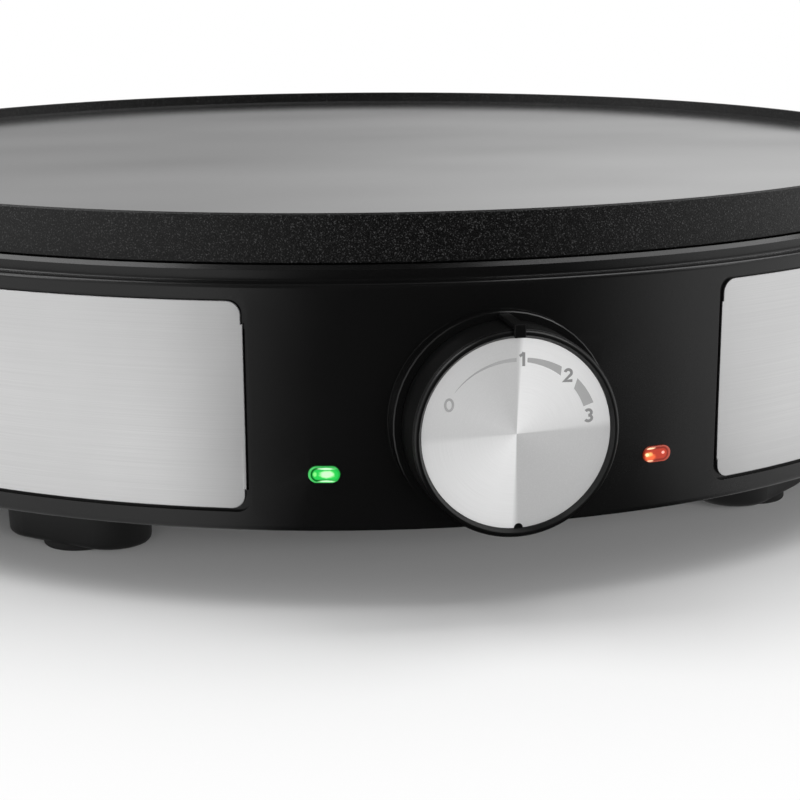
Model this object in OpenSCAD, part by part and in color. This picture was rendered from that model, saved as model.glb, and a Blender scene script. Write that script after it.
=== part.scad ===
// Electric crepe maker: a cast griddle plate on a round housing with one thermostat dial.
// +Z is up, z = 0 is the surface that it stands on, and the dial faces -Y.
// Angles called phi are counted from the front (-Y), positive towards +X.

/* [Griddle plate] */
// Outer diameter of the plate
plate_d = 380; // [360:1:400]
// Height of the plate's outer side
plate_side_h = 12.9; // [12.5:0.1:20]
// Width of the raised lip, seen from above
lip_w = 1.9; // [1.4:0.1:4]
// Depth of the cooking surface below the lip
lip_h = 4; // [2:0.1:5]
// Thickness of the cooking floor
plate_floor_t = 5.4; // [4:0.1:6]
// Thickness of the plate's side skirt
skirt_t = 4; // [3:0.1:4.5]
// Gap between the skirt and the housing's ledge
plate_gap = 0.3; // [0.2:0.1:2]
// Distance of the fixing posts from the plate's centre
post_ring_r = 158; // [150:1:160]
// Radius of a fixing post
post_r = 6; // [5:0.5:7]

/* [Heating element] */
// Radius of the element's tube
tube_r = 3.3; // [2.5:0.1:4]
// Radius of the outer loop
loop_outer_r = 130; // [122:1:136]
// Radius of the inner loop
loop_inner_r = 76; // [70:1:84]
// Radius of the bend where a leg turns down
leg_bend_r = 9; // [8:0.5:11]
// Radius of the sensor bulb
bulb_r = 3; // [2.5:0.1:3.2]
// Length of the sensor bulb
bulb_l = 70; // [50:1:80]

/* [Housing] */
// Height of the housing, from its lower edge to the ledge
housing_h = 69.5; // [66:0.1:76]
// Reach of the ledge beyond the plate
ledge_w = 1.6; // [1.5:0.1:4]
// Height of the band below the ledge
band_h = 4; // [3:0.1:6]
// Step from the band out to the wall
step_w = 4.4; // [2:0.1:6]
// Wall thickness
wall_t = 2.5; // [2.2:0.1:3]
// Draft of the wall, in degrees
wall_draft = 1; // [0.5:0.1:1.5]
// Radius of the rounding along the lower edge
foot_round = 1.5; // [1:0.1:3]
// Radius of a screw column
column_r = 5; // [4:0.5:5.5]

/* [Side panels] */
// Angle from the front to a panel's end
panel_phi = 19.3; // [18.5:0.1:21]
// Height of a panel's lower edge above the housing's lower edge
panel_lift = 6.1; // [5.5:0.1:8]
// Height of a panel
panel_h = 54.9; // [50:0.1:55.5]
// Thickness of the sheet
panel_t = 0.8; // [0.6:0.1:1]
// Corner radius of a panel
panel_corner = 3.6; // [1:0.1:5]
// Gap above and below a panel
panel_gap = 0.9; // [0.5:0.1:1.2]
// Gap at a panel's ends
panel_end_gap = 1.2; // [0.5:0.1:2]
// Depth of the recess that the panel lies in
recess_depth = 1.2; // [1.1:0.1:1.4]

/* [Dial] */
// Height of the dial's axis above the housing's lower edge
dial_lift = 29.3; // [29:0.1:34]
// Depth of the knob
knob_depth = 13.7; // [11:0.1:16]
// Radius of the knob
knob_r = 26.8; // [25.5:0.1:27]
// Width of the knob's black rim around the metal face
knob_rim_w = 2.3; // [1.5:0.1:3]
// Thickness of the metal face
face_t = 0.7; // [0.5:0.1:0.9]
// Height of the boss above the wall
boss_proud = 4; // [3:0.1:8]
// Reach of the boss beyond the knob, all round
boss_margin = 2.1; // [1:0.1:3]
// Width of the pointer
pointer_w = 2.8; // [2:0.1:4]
// Radius of the spindle
spindle_r = 3; // [2.5:0.1:3.4]

/* [Pilot lamps] */
// Angle from the front to a lens
lamp_phi = 13.34; // [13:0.01:14]
// Drop of the lenses below the dial's axis
lamp_drop = 13.6; // [12:0.1:15]
// Length of a lens
lens_l = 8.2; // [7:0.1:10]
// Height of a lens
lens_h = 4.3; // [4:0.1:6]
// Radius of a neon lamp
neon_r = 2.7; // [2:0.1:3]

/* [Feet] */
// Height of a moulded foot below the housing's lower edge
foot_h = 19.3; // [12:0.1:24]
// Angle from the front to a foot
foot_phi = 43; // [40:0.5:46]
// Distance of a foot from the plate's axis
foot_ring_r = 152; // [148:1:156]
// Radius of a foot's ends
foot_r = 11.4; // [10.6:0.1:13]
// Length of a foot between the centres of its ends
foot_l = 23.6; // [16:0.1:28]
// Radius of a rubber pad
pad_r = 10.6; // [8:0.1:10.8]
// Height of a rubber pad below its foot
pad_show = 2; // [1.5:0.1:3]

/* [Base and lead entry] */
// Thickness of the base cover
base_t = 2.5; // [2:0.1:3.5]
// Width of a vent slot
vent_w = 4; // [3:0.5:6]
// Radius of the bore for the lead
lead_r = 3.7; // [3:0.1:4.2]
// Length of the gland's nose
gland_nose_l = 9.47; // [6:0.01:16]
// Radius of the insulated inner wires
wire_r = 1.3; // [1:0.1:1.6]

/* [Hidden] */
$fn = 96;

// Clearances
fit_gap = 0.05;      // round fit, on the radius
slip_gap = 0.3;      // between pieces that are only set side by side
eps = 0.02;          // overlap that joins the shapes of one piece

// Heights
body_z = pad_show + foot_h;
ledge_z = body_z + housing_h;
skirt_z = ledge_z + plate_gap;
rim_z = skirt_z + plate_side_h;
cook_z = rim_z - lip_h;
under_z = cook_z - plate_floor_t;
step_z = ledge_z - band_h;
dial_z = body_z + dial_lift;
lamp_z = dial_z - lamp_drop;
panel_z = body_z + panel_lift;
base_inset = 0.5;                        // the base cover lies this far inside the lower edge
base_z = body_z + base_inset;
base_top = base_z + base_t;
shelf_t = 2.7;                           // thickness of the ledge
shield_t = 1;                            // sheet of the heat shield
shield_drop = 5;                         // room above the shield's flange
flange_z = ledge_z - shelf_t - shield_drop;
shield_floor_z = flange_z - 14;          // depth of the shield's dish
element_z = under_z - tube_r - 0.3;

// Radii
plate_r = plate_d / 2;
ledge_r = plate_r + ledge_w;
wall_top_r = ledge_r + step_w;
shelf_r = plate_r - 3.2;                 // inner edge of the ledge, under the skirt
flange_r = shelf_r - slip_gap - 0.2;
column_ring_r = flange_r - column_r - 0.3;
turn_in = 6.7;                           // width of the lower edge that turns in
function wall_r(z) = wall_top_r - (step_z - z) * tan(wall_draft);
lower_r = wall_r(body_z) - turn_in;
base_r = lower_r - slip_gap;
shield_dish_r = post_ring_r + post_r + 3;

// Fasteners
m5_r = 2.5;
m4_r = 2;
m3_r = 1.5;
head_ratio = 1.8;                        // head radius over shank radius
head_h = 2.2;
m3_grip = 5;                             // thread in the piece behind
m4_grip = 10;
m5_grip = 12;
bore_spare = 2;                          // a blind hole is this much deeper than its screw
column_phis = [26, 90, 154, 206, 270, 334];
post_phis = [45, 135, 225, 315];
clamp_phis = [75, 135, 225, 285];

// Dial
boss_reach = wall_top_r + boss_proud;    // distances along the dial's axis, from the plate's axis
boss_r = knob_r + boss_margin;
boss_t = 3;                              // thickness of the boss's face
boss_wall = 2.5;
boss_edge = 0.3;                         // chamfer round the boss's face
knob_gap = 0.7;
knob_base = boss_reach + knob_gap;
knob_reach = knob_base + knob_depth;
face_r = knob_r - knob_rim_w;
knob_round = 0.8;
rim_slope = 0.9;                         // the rim falls towards the face over this width
knob_wall = 2.6;
knob_web_t = 3;
face_inset = 1.5;                        // the face lies this far behind the knob's rim
face_front = knob_reach - face_inset;
hub_r = spindle_r + 3.2;
spindle_tip = knob_reach - knob_web_t - face_inset - face_t - 0.6;
spindle_flat = spindle_r * 0.55;         // distance of the D flat from the axis
notch_r = 1.2;
notch_turn = 1.4;                        // the notch stands a little off the foot of the face
pointer_gap = 0.4;
pointer_t = 1.3;
pointer_front = knob_reach + pointer_gap + pointer_t;
thermostat_front = boss_reach - boss_t;
bracket_t = 1.5;
bracket_w = 44;
bracket_h = 20;
bush_r = spindle_r + 1.5;
thermostat_w = 34;
thermostat_h = 28;
thermostat_l = 24;
thermostat_back = thermostat_front - bracket_t - thermostat_l;
thermostat_screw_x = 16;

// Lead entry
gland_z = lamp_z;
gland_pad_reach = wall_r(gland_z) + 1.4;
gland_reach = gland_pad_reach + gland_nose_l;
gland_r = lead_r + 2.8;

// Places inside
block_w = 38;
block_d = 17;
block_h = 14;
pole_pitch = 12;
pole_r = wire_r + 0.7;
block_pole_z = base_top + 5;
clamp_post_x = 12;
fuse_x = 46;
fuse_y = 40;
fuse_r = 2.2;
earth_x = -50;
earth_y = 60;
leg_phi = 168;                           // where the element's legs go down
bend_phi = 222;                          // where the two loops join
leg_tip_z = shield_floor_z - 9;
leg_x = leg_bend_r + 1;
function leg_at(r) = [r * sin(leg_phi) + leg_x * cos(leg_phi), -r * cos(leg_phi) + leg_x * sin(leg_phi)];
block_set = 6.8;                         // the terminal block stands this far behind the outer leg
block_y = leg_at(loop_outer_r)[1] + block_set;
clamp_post_y = column_ring_r - 9;
fuse_set = 6.5;                          // the fuse lies this far behind its holder's screw
fuse_mid_y = fuse_y + fuse_set;
wire_grip = 6;                           // a wire's end in a pole
wire_step = 2;
wire_straight = 8;                       // a wire runs straight this far before it bends
wire_bend = 14;                          // room in which a wire turns
live_x = 44;
live_y = 95;
bulb_y = -(loop_outer_r + loop_inner_r) / 2;

// The bounding box is centred on the origin, so the plate's axis stands a little behind it.
axis_y = (pointer_front - gland_reach) / 2;

// ---- helpers ----

// Points of an arc, for outlines
function arc(cx, cy, r, a0, a1, n = 6) =
  [for (i = [0:n]) [cx + r * cos(a0 + (a1 - a0) * i / n), cy + r * sin(a0 + (a1 - a0) * i / n)]];

// Everything is drawn about the plate's axis
module about_axis() translate([0, axis_y, 0]) children();

// Local -Y points outwards at the angle phi
module at_phi(phi) rotate([0, 0, phi]) children();

// Local +Z points outwards along the dial's axis, counted from the plate's axis
module on_dial_axis() translate([0, 0, dial_z]) rotate([90, 0, 0]) children();

// Revolves an outline over the angles phi0 to phi1
module sweep_phi(phi0, phi1) rotate([0, 0, phi0 - 90]) rotate_extrude(angle = phi1 - phi0, $fn = 180) children();

module obround(l, h) hull_free_obround(l - h, h / 2);
module hull_free_obround(straight, r) {
  square([straight, 2 * r], center = true);
  for (s = [-1, 1]) translate([s * straight / 2, 0]) circle(r, $fn = 32);
}

// Pan-head screw: head below z = 0, shank above
module screw(r, l) {
  rotate([180, 0, 0]) cylinder(r1 = r * head_ratio, r2 = r * head_ratio - 0.5, h = head_h, $fn = 32);
  translate([0, 0, -eps]) cylinder(r = r, h = l + eps, $fn = 32);
}

// A tube swept along points, as one closed solid
function unit(v) = v / norm(v);
function along(p, i) = unit(p[min(i + 1, len(p) - 1)] - p[max(i - 1, 0)]);
function side_of(p, i) = i == 0
  ? unit(cross(along(p, 0), abs(along(p, 0)[2]) < 0.8 ? [0, 0, 1] : [1, 0, 0]))
  : let (s = side_of(p, i - 1), t = along(p, i)) unit(s - t * (s * t));
function ring(p, i, r, n, s) =
  let (t = along(p, i), u = cross(t, s)) [for (k = [0:n - 1]) p[i] + r * (cos(360 * k / n) * s + sin(360 * k / n) * u)];
// Bends through hand-chosen points: each span is a cubic
function span(a, b, c, d, t) = 0.5 * (2 * b + (c - a) * t + (2 * a - 5 * b + 4 * c - d) * t * t
  + (3 * b - a - 3 * c + d) * t * t * t);
function smooth(p, n = 4) = [for (i = [0:len(p) - 2]) for (j = [0:n - (i == len(p) - 2 ? 0 : 1)])
  span(p[max(i - 1, 0)], p[i], p[i + 1], p[min(i + 2, len(p) - 1)], j / n)];
module tube(route, r, n = 8) {
  p = smooth(route);
  m = len(p);
  rings = [for (i = [0:m - 1]) each ring(p, i, r, n, side_of(p, i))];
  sides = [for (i = [0:m - 2]) for (k = [0:n - 1]) let (a = i * n + k, b = i * n + (k + 1) % n)
    each [[a, a + n, b], [b, a + n, b + n]]];
  cap0 = [for (k = [1:n - 2]) [0, k, k + 1]];
  cap1 = [for (k = [1:n - 2]) [(m - 1) * n, (m - 1) * n + k + 1, (m - 1) * n + k]];
  polyhedron(points = rings, faces = concat(sides, cap0, cap1), convexity = 6);
}

// ---- griddle plate and heating ----

module plate_outline() {
  edge = 0.5;
  skirt_edge = 0.25;
  polygon([[0, under_z], [plate_r - skirt_t, under_z], [plate_r - skirt_t, skirt_z], [plate_r - skirt_edge, skirt_z],
    [plate_r, skirt_z + skirt_edge], [plate_r, rim_z - edge], [plate_r - edge, rim_z],
    [plate_r - lip_w + edge / 2, rim_z], [plate_r - lip_w, rim_z - edge / 2],
    [plate_r - lip_w - edge, cook_z + edge], [plate_r - lip_w - 2 * edge, cook_z], [0, cook_z]]);
}

clamp_ring_r = (loop_outer_r + loop_inner_r) / 2;
clamp_boss_r = 4;
clamp_top_z = element_z - tube_r;
rib_h = 4;
rib_t = 2;

module griddle_plate() color([0.07, 0.07, 0.075]) about_axis() {
  difference() {
    union() {
      rotate_extrude($fn = 180) plate_outline();
      for (r = [loop_outer_r, loop_inner_r], s = [-1, 1])
        sweep_phi(bend_phi + 8, leg_phi + 354)
          translate([r + s * (tube_r + 0.4 + rib_t / 2) - rib_t / 2, under_z - rib_h]) square([rib_t, rib_h + eps]);
      for (phi = post_phis) at_phi(phi) translate([0, -post_ring_r, shield_floor_z])
        cylinder(r = post_r, h = under_z - shield_floor_z + eps, $fn = 48);
      for (phi = clamp_phis) at_phi(phi) translate([0, -clamp_ring_r, clamp_top_z])
        cylinder(r = clamp_boss_r, h = under_z - clamp_top_z + eps, $fn = 32);
      for (s = [-1, 1]) translate([0, bulb_y + s * clip_screw_y, clip_top_z])
        cylinder(r = clamp_boss_r, h = under_z - clip_top_z + eps, $fn = 32);
    }
    for (phi = post_phis) at_phi(phi) translate([0, -post_ring_r, shield_floor_z - 1])
      cylinder(r = m5_r + fit_gap, h = m5_grip + bore_spare + 1, $fn = 32);
    for (phi = clamp_phis) at_phi(phi) translate([0, -clamp_ring_r, clamp_top_z - 1])
      cylinder(r = m3_r + fit_gap, h = m3_grip + bore_spare, $fn = 32);
    for (s = [-1, 1]) translate([0, bulb_y + s * clip_screw_y, clip_top_z - 1])
      cylinder(r = m3_r + fit_gap, h = m3_grip + bore_spare, $fn = 32);
  }
}

sleeve_l = 5;                            // crimped sleeve between a loop and its cold leg
sleeve_t = 0.2;
module heating_element() color([0.45, 0.45, 0.46]) about_axis() {
  mid_r = (loop_outer_r + loop_inner_r) / 2;
  for (r = [loop_outer_r, loop_inner_r]) {
    sweep_phi(bend_phi, leg_phi + 360) translate([r, element_z]) circle(tube_r, $fn = 32);
    at_phi(leg_phi) translate([1, -r, element_z - leg_bend_r]) {
      translate([-sleeve_l / 2, 0, leg_bend_r]) rotate([0, 90, 0]) cylinder(r = tube_r + sleeve_t, h = sleeve_l, $fn = 32);
      rotate([90, 0, 0]) rotate_extrude(angle = 90, $fn = 64) translate([leg_bend_r, 0]) circle(tube_r, $fn = 32);
      translate([leg_bend_r, 0, leg_tip_z - element_z + leg_bend_r])
        cylinder(r = tube_r, h = element_z - leg_bend_r - leg_tip_z, $fn = 32);
    }
  }
  at_phi(bend_phi) translate([0, -mid_r, element_z]) rotate([0, 0, 90])
    rotate_extrude(angle = 180, $fn = 96) translate([(loop_outer_r - loop_inner_r) / 2, 0]) circle(tube_r, $fn = 32);
}

tab_w = 6.3;
tab_t = 0.8;
tab_l = 9;
pin_r = 1.2;
module element_terminals() color([0.75, 0.72, 0.6]) about_axis()
  for (r = [loop_outer_r, loop_inner_r]) at_phi(leg_phi) translate([leg_bend_r + 1, -r, leg_tip_z]) {
    translate([0, 0, -5]) cylinder(r = pin_r, h = 5, $fn = 24);
    translate([-tab_w / 2, -tab_t / 2, -5 - tab_l + eps]) cube([tab_w, tab_t, tab_l]);
  }

clamp_t = 1.5;
clamp_w = 12;
module element_clamps() color([0.7, 0.7, 0.7]) about_axis()
  for (phi = clamp_phis) at_phi(phi) difference() {
    reach = loop_outer_r + tube_r + 5;
    start = loop_inner_r - tube_r - 5;
    translate([-clamp_w / 2, -reach, clamp_top_z - clamp_t]) cube([clamp_w, reach - start, clamp_t]);
    translate([0, -clamp_ring_r, clamp_top_z - clamp_t - 1]) cylinder(r = m3_r + 0.2, h = clamp_t + 2, $fn = 32);
  }

clip_top_z = under_z - 2 * bulb_r - 0.3;
clip_screw_y = bulb_r + clamp_boss_r + 0.5;
clip_t = 1;
module sensor_bulb() color([0.72, 0.45, 0.3]) about_axis()
  translate([-bulb_l / 2, bulb_y, under_z - bulb_r - 0.15]) rotate([0, 90, 0]) cylinder(r = bulb_r, h = bulb_l, $fn = 32);

module bulb_clip() color([0.7, 0.7, 0.7]) about_axis() difference() {
  w = 10;
  l = 2 * (clip_screw_y + clamp_boss_r);
  translate([-w / 2, bulb_y - l / 2, clip_top_z - clip_t]) cube([w, l, clip_t]);
  for (s = [-1, 1]) translate([0, bulb_y + s * clip_screw_y, clip_top_z - clip_t - 1])
    cylinder(r = m3_r + 0.2, h = clip_t + 2, $fn = 32);
}

module clamp_screws() color([0.6, 0.6, 0.6]) about_axis() {
  for (phi = clamp_phis) at_phi(phi) translate([0, -clamp_ring_r, clamp_top_z - clamp_t]) screw(m3_r, clamp_t + m3_grip);
  for (s = [-1, 1]) translate([0, bulb_y + s * clip_screw_y, clip_top_z - clip_t]) screw(m3_r, clip_t + m3_grip);
}

capillary_r = 0.9;
capillary_run = 17;
capillary_hole_x = bulb_l / 2 + capillary_run;
module capillary_tube() color([0.72, 0.45, 0.3]) about_axis() {
  bulb_z = under_z - bulb_r - 0.15;
  tube([[bulb_l / 2 + 0.05, bulb_y, bulb_z], [bulb_l / 2 + 8, bulb_y, bulb_z - 0.5],
    [capillary_hole_x - 2, bulb_y, bulb_z - 8], [capillary_hole_x, bulb_y, shield_floor_z],
    [capillary_hole_x - 2, bulb_y - 6, shield_floor_z - 12], [30, bulb_y - 24, shield_floor_z - 16],
    [12, -thermostat_back + 14, dial_z + 9],
    [12, -thermostat_back + 5, dial_z + 9], [12, -thermostat_back + 0.1, dial_z + 9]], capillary_r);
}

module heat_shield() color([0.62, 0.62, 0.63]) about_axis() difference() {
  rotate_extrude($fn = 180) polygon([[0, shield_floor_z - shield_t], [shield_dish_r, shield_floor_z - shield_t],
    [shield_dish_r + shield_t, shield_floor_z], [shield_dish_r + shield_t, flange_z], [flange_r, flange_z],
    [flange_r, flange_z + shield_t], [shield_dish_r, flange_z + shield_t], [shield_dish_r, shield_floor_z],
    [0, shield_floor_z]]);
  for (phi = post_phis) at_phi(phi) translate([0, -post_ring_r, shield_floor_z - shield_t - 1])
    cylinder(r = m5_r + 0.3, h = shield_t + 2, $fn = 32);
  for (phi = column_phis) at_phi(phi) translate([0, -column_ring_r, flange_z - 1])
    cylinder(r = m4_r + 0.2, h = shield_t + 2, $fn = 32);
  for (r = [loop_outer_r, loop_inner_r]) at_phi(leg_phi) translate([leg_bend_r + 1, -r, shield_floor_z - shield_t - 1])
    cylinder(r = tube_r + 2.5, h = shield_t + 2, $fn = 48);
  translate([capillary_hole_x, bulb_y, shield_floor_z - shield_t - 1]) cylinder(r = 4, h = shield_t + 2, $fn = 32);
  for (p = [[fuse_x, fuse_y], [earth_x, earth_y]]) translate([p[0], p[1], shield_floor_z - shield_t - 1])
    cylinder(r = m3_r + fit_gap, h = shield_t + 2, $fn = 32);
}

module plate_bolts() color([0.6, 0.6, 0.6]) about_axis()
  for (phi = post_phis) at_phi(phi) translate([0, -post_ring_r, shield_floor_z - shield_t]) screw(m5_r, shield_t + m5_grip);

module shield_screws() color([0.6, 0.6, 0.6]) about_axis()
  for (phi = column_phis) at_phi(phi) translate([0, -column_ring_r, flange_z + shield_t])
    rotate([180, 0, 0]) screw(m4_r, shield_t + m4_grip);

// ---- housing ----

module housing_outline() {
  shoulder = 1;                          // rounding between the wall and the step
  fillet = 0.5;                          // hollow rounding at the band's foot
  bevel = 1.1;                           // along the ledge's outer edge
  inner_round = 0.6;
  r_low = wall_r(body_z + foot_round);
  r_in = wall_r(body_z + wall_t) - wall_t;
  polygon(concat([[lower_r, body_z]],
    arc(r_low - foot_round, body_z + foot_round, foot_round, -90, 0),
    arc(wall_top_r - shoulder, step_z - shoulder, shoulder, 0, 90, 4),
    arc(ledge_r + fillet, step_z + fillet, fillet, 270, 180, 4),
    [[ledge_r, ledge_z - bevel], [ledge_r - bevel, ledge_z], [shelf_r, ledge_z], [shelf_r, ledge_z - shelf_t],
      [ledge_r - wall_t, ledge_z - shelf_t], [ledge_r - wall_t, step_z - shelf_t],
      [wall_r(step_z - shelf_t) - wall_t, step_z - shelf_t]],
    arc(r_in - inner_round, body_z + wall_t + inner_round, inner_round, 0, -90),
    [[lower_r, body_z + wall_t]]));
}

// A band of the wall between two angles and two heights, with rounded corners,
// from the depth d0 to the depth d1 below the wall's outer face
module wall_band(phi0, phi1, z0, z1, d0, d1, corner, notch = 0) difference() {
  sweep_phi(phi0, phi1) polygon([[wall_r(z0) - d1, z0], [wall_r(z0) - d0, z0], [wall_r(z1) - d0, z1], [wall_r(z1) - d1, z1]]);
  for (e = [[phi0, 1], [phi1, -1]], v = [[z0, 1], [z1, -1]]) at_phi(e[0]) translate([0, -wall_r(v[0]), v[0]])
    rotate([90, 0, 0]) translate([0, 0, -d1 - 2]) linear_extrude(d1 - d0 + 4) scale([e[1], v[1]]) difference() {
      translate([-1, -1]) square([notch + corner + 1, (notch > 0 ? notch_h : corner) + 1]);
      translate([notch + corner, corner]) circle(corner, $fn = 32);
      translate([notch, corner]) square([corner + 1, notch_h + 1]);
    }
}

// The panels' end tabs reach through slots in the wall
tab_rise = 5.2;                          // a tab is this much shorter than the panel, at each end
tab_depth = 4.2;
tab_notch = 0.5;                         // the sheet is cut back this far above and below a tab
notch_h = 6;
module panel_tab(phi, s, grow) at_phi(phi) {
  top = panel_z + panel_h - tab_rise - 2.5;
  low = panel_z + tab_rise;
  translate([s > 0 ? -grow : -panel_t - grow, -wall_r(dial_z) + recess_depth - panel_t, low - grow])
    cube([panel_t + 2 * grow, tab_depth, top - low + 2 * grow]);
}

module lens_place(s) at_phi(s * lamp_phi) translate([0, 0, lamp_z]) rotate([90, 0, 0]) children();

module gland_place() at_phi(180) translate([0, 0, gland_z]) rotate([90, 0, 0]) children();

column_top = flange_z;
module housing() color([0.06, 0.06, 0.065]) about_axis() difference() {
  union() {
    rotate_extrude($fn = 180) housing_outline();
    on_dial_axis() translate([0, 0, wall_top_r - 6]) {
      cylinder(r = boss_r, h = boss_reach - boss_edge - wall_top_r + 6);
      translate([0, 0, boss_reach - boss_edge - wall_top_r + 6]) cylinder(r1 = boss_r, r2 = boss_r - boss_edge, h = boss_edge);
    }
    gland_place() translate([0, 0, wall_top_r - 6]) cylinder(r = gland_r + 3, h = gland_pad_reach - wall_top_r + 6, $fn = 64);
    for (phi = column_phis) at_phi(phi) {
      translate([0, -column_ring_r, base_top]) cylinder(r = column_r, h = column_top - base_top, $fn = 48);
      translate([-1.5, -wall_r(base_top + 3) + wall_t / 2, base_top + 3])
        cube([3, wall_r(base_top + 3) - wall_t / 2 - column_ring_r, column_top - base_top - 3]);
    }
  }
  // recesses and tab slots of the side panels
  for (s = [-1, 1]) rotate([0, 0, s > 0 ? 0 : 180]) {
    gap_phi = panel_end_gap / wall_top_r * 180 / PI;
    wall_band(panel_phi - gap_phi, 180 - panel_phi + gap_phi, panel_z - panel_gap, panel_z + panel_h + panel_gap,
      -1, recess_depth, panel_corner);
    panel_tab(panel_phi, 1, 0.35);
    panel_tab(180 - panel_phi, -1, 0.35);
  }
  // hollow of the boss, and its holes
  on_dial_axis() {
    translate([0, 0, thermostat_back - 10]) cylinder(r = boss_r - boss_wall, h = thermostat_front - thermostat_back + 10);
    cylinder(r = bush_r + 0.5, h = boss_reach + 1, $fn = 48);
    for (s = [-1, 1]) translate([s * thermostat_screw_x, 0, 0]) cylinder(r = m4_r + 0.2, h = boss_reach + 1, $fn = 32);
    translate([-stem_w / 2 - 0.1, stem_low - 0.1, thermostat_front - 1]) cube([stem_w + 0.2, stem_h + 0.2, boss_t + 2]);
  }
  for (s = [-1, 1]) lens_place(s) linear_extrude(wall_top_r + 5) obround(lens_l + 0.2, lens_h + 0.2);
  gland_place() translate([0, 0, column_ring_r]) cylinder(r = gland_r + 0.1, h = gland_reach - column_ring_r, $fn = 64);
  for (phi = column_phis) at_phi(phi) translate([0, -column_ring_r, 0]) {
    translate([0, 0, base_top - 1]) cylinder(r = m4_r + fit_gap, h = m4_grip + bore_spare + 1, $fn = 32);
    translate([0, 0, column_top - m4_grip - bore_spare])
      cylinder(r = m4_r + fit_gap, h = m4_grip + bore_spare + 1, $fn = 32);
  }
}

// s = 1 is the right panel
module side_panel(s) color([0.78, 0.78, 0.77]) about_axis() rotate([0, 0, s > 0 ? 0 : 180]) {
  seat = 0.1;
  wall_band(panel_phi, 180 - panel_phi, panel_z, panel_z + panel_h, recess_depth - panel_t - seat, recess_depth - seat,
    panel_corner, tab_notch);
  panel_tab(panel_phi, 1, 0);
  panel_tab(180 - panel_phi, -1, 0);
}
module left_panel() side_panel(-1);
module right_panel() side_panel(1);

// ---- dial ----

stem_w = 2;
stem_h = 1.4;
arm_low = knob_r + pointer_gap;
stem_low = arm_low - 1;                  // height of the stem's lower face above the axis
arm_t = 1.2;
tip_low = face_r + 0.6;
module dial_pointer() color([0.09, 0.09, 0.1]) about_axis() on_dial_axis() {
  translate([-pointer_w / 2, tip_low, pointer_front - pointer_t]) cube([pointer_w, arm_low + arm_t - tip_low, pointer_t]);
  translate([-pointer_w / 2, arm_low, boss_reach]) cube([pointer_w, arm_t, pointer_front - boss_reach]);
  translate([-stem_w / 2, stem_low, thermostat_front]) cube([stem_w, stem_h, boss_reach - thermostat_front + 0.6]);
}

module knob_outline() {
  web_back = face_front - face_t - knob_web_t;
  taper = 0.3;
  polygon(concat([[0, web_back], [knob_r - knob_wall, web_back], [knob_r - knob_wall, knob_base], [knob_r, knob_base],
      [knob_r, knob_reach - knob_round - 0.5], [knob_r - taper, knob_reach - knob_round - 0.4]],
    arc(knob_r - taper - knob_round, knob_reach - knob_round, knob_round, 0, 90),
    [[face_r + rim_slope, knob_reach], [face_r + 0.1, face_front + 0.3], [face_r + 0.1, face_front - face_t],
      [0, face_front - face_t]]));
}

module knob_body() color([0.06, 0.06, 0.065]) about_axis() on_dial_axis() {
  web_back = face_front - face_t - knob_web_t;
  difference() {
    union() {
      rotate_extrude($fn = 144) knob_outline();
      translate([0, 0, knob_base + 0.8]) cylinder(r = hub_r, h = web_back - knob_base - 0.8 + eps, $fn = 48);
      // key that locates the metal face
      rotate(notch_turn) translate([0, -face_r, face_front - face_t - eps]) cylinder(r = notch_r - 0.1, h = face_t, $fn = 24);
    }
    translate([0, 0, knob_base - 1]) difference() {
      cylinder(r = spindle_r + fit_gap, h = spindle_tip + 0.2 - knob_base + 1, $fn = 48);
      translate([-spindle_r - 1, spindle_flat + clip_leaf_t + 0.1, -1]) cube([2 * spindle_r + 2, spindle_r, spindle_tip]);
    }
  }
}

module knob_face() color([0.86, 0.86, 0.86]) about_axis() on_dial_axis() difference() {
  translate([0, 0, face_front - face_t]) cylinder(r = face_r, h = face_t, $fn = 144);
  rotate(notch_turn) translate([0, -face_r, face_front - face_t - 1]) cylinder(r = notch_r, h = face_t + 2, $fn = 24);
}

clip_leaf_t = 0.4;
module knob_clip() color([0.75, 0.75, 0.75]) about_axis() on_dial_axis()
  translate([-1.5, spindle_flat + 0.05, knob_base + 1.5]) cube([3, clip_leaf_t, spindle_tip - knob_base - 2]);

module thermostat_spindle() color([0.8, 0.78, 0.7]) about_axis() on_dial_axis() difference() {
  translate([0, 0, thermostat_back + 8]) cylinder(r = spindle_r, h = spindle_tip - thermostat_back - 8, $fn = 48);
  translate([-spindle_r - 1, spindle_flat, knob_base + 0.4]) cube([2 * spindle_r + 2, spindle_r, spindle_tip]);
}

module thermostat_body() color([0.85, 0.83, 0.75]) about_axis() on_dial_axis() difference() {
  union() {
    translate([-thermostat_w / 2, -thermostat_h / 2, thermostat_back]) cube([thermostat_w, thermostat_h, thermostat_l]);
    translate([0, 0, thermostat_back + thermostat_l - eps])
      cylinder(r = bush_r, h = boss_reach - 0.5 - thermostat_back - thermostat_l, $fn = 48);
  }
  translate([0, 0, thermostat_back + 7.5]) cylinder(r = spindle_r + fit_gap, h = boss_reach - thermostat_back, $fn = 48);
  for (s = [-1, 1]) translate([s * thermostat_screw_x, 0, thermostat_back + thermostat_l - 6])
    cylinder(r = m4_r + 0.5, h = 8, $fn = 32);
}

module thermostat_bracket() color([0.7, 0.7, 0.7]) about_axis() on_dial_axis() difference() {
  translate([-bracket_w / 2, -bracket_h / 2, thermostat_front - bracket_t]) cube([bracket_w, bracket_h, bracket_t]);
  translate([0, 0, thermostat_front - bracket_t - 1]) cylinder(r = bush_r + 0.1, h = bracket_t + 2, $fn = 48);
  for (s = [-1, 1]) translate([s * thermostat_screw_x, 0, thermostat_front - bracket_t - 1])
    cylinder(r = m4_r + fit_gap, h = bracket_t + 2, $fn = 32);
}

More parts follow.
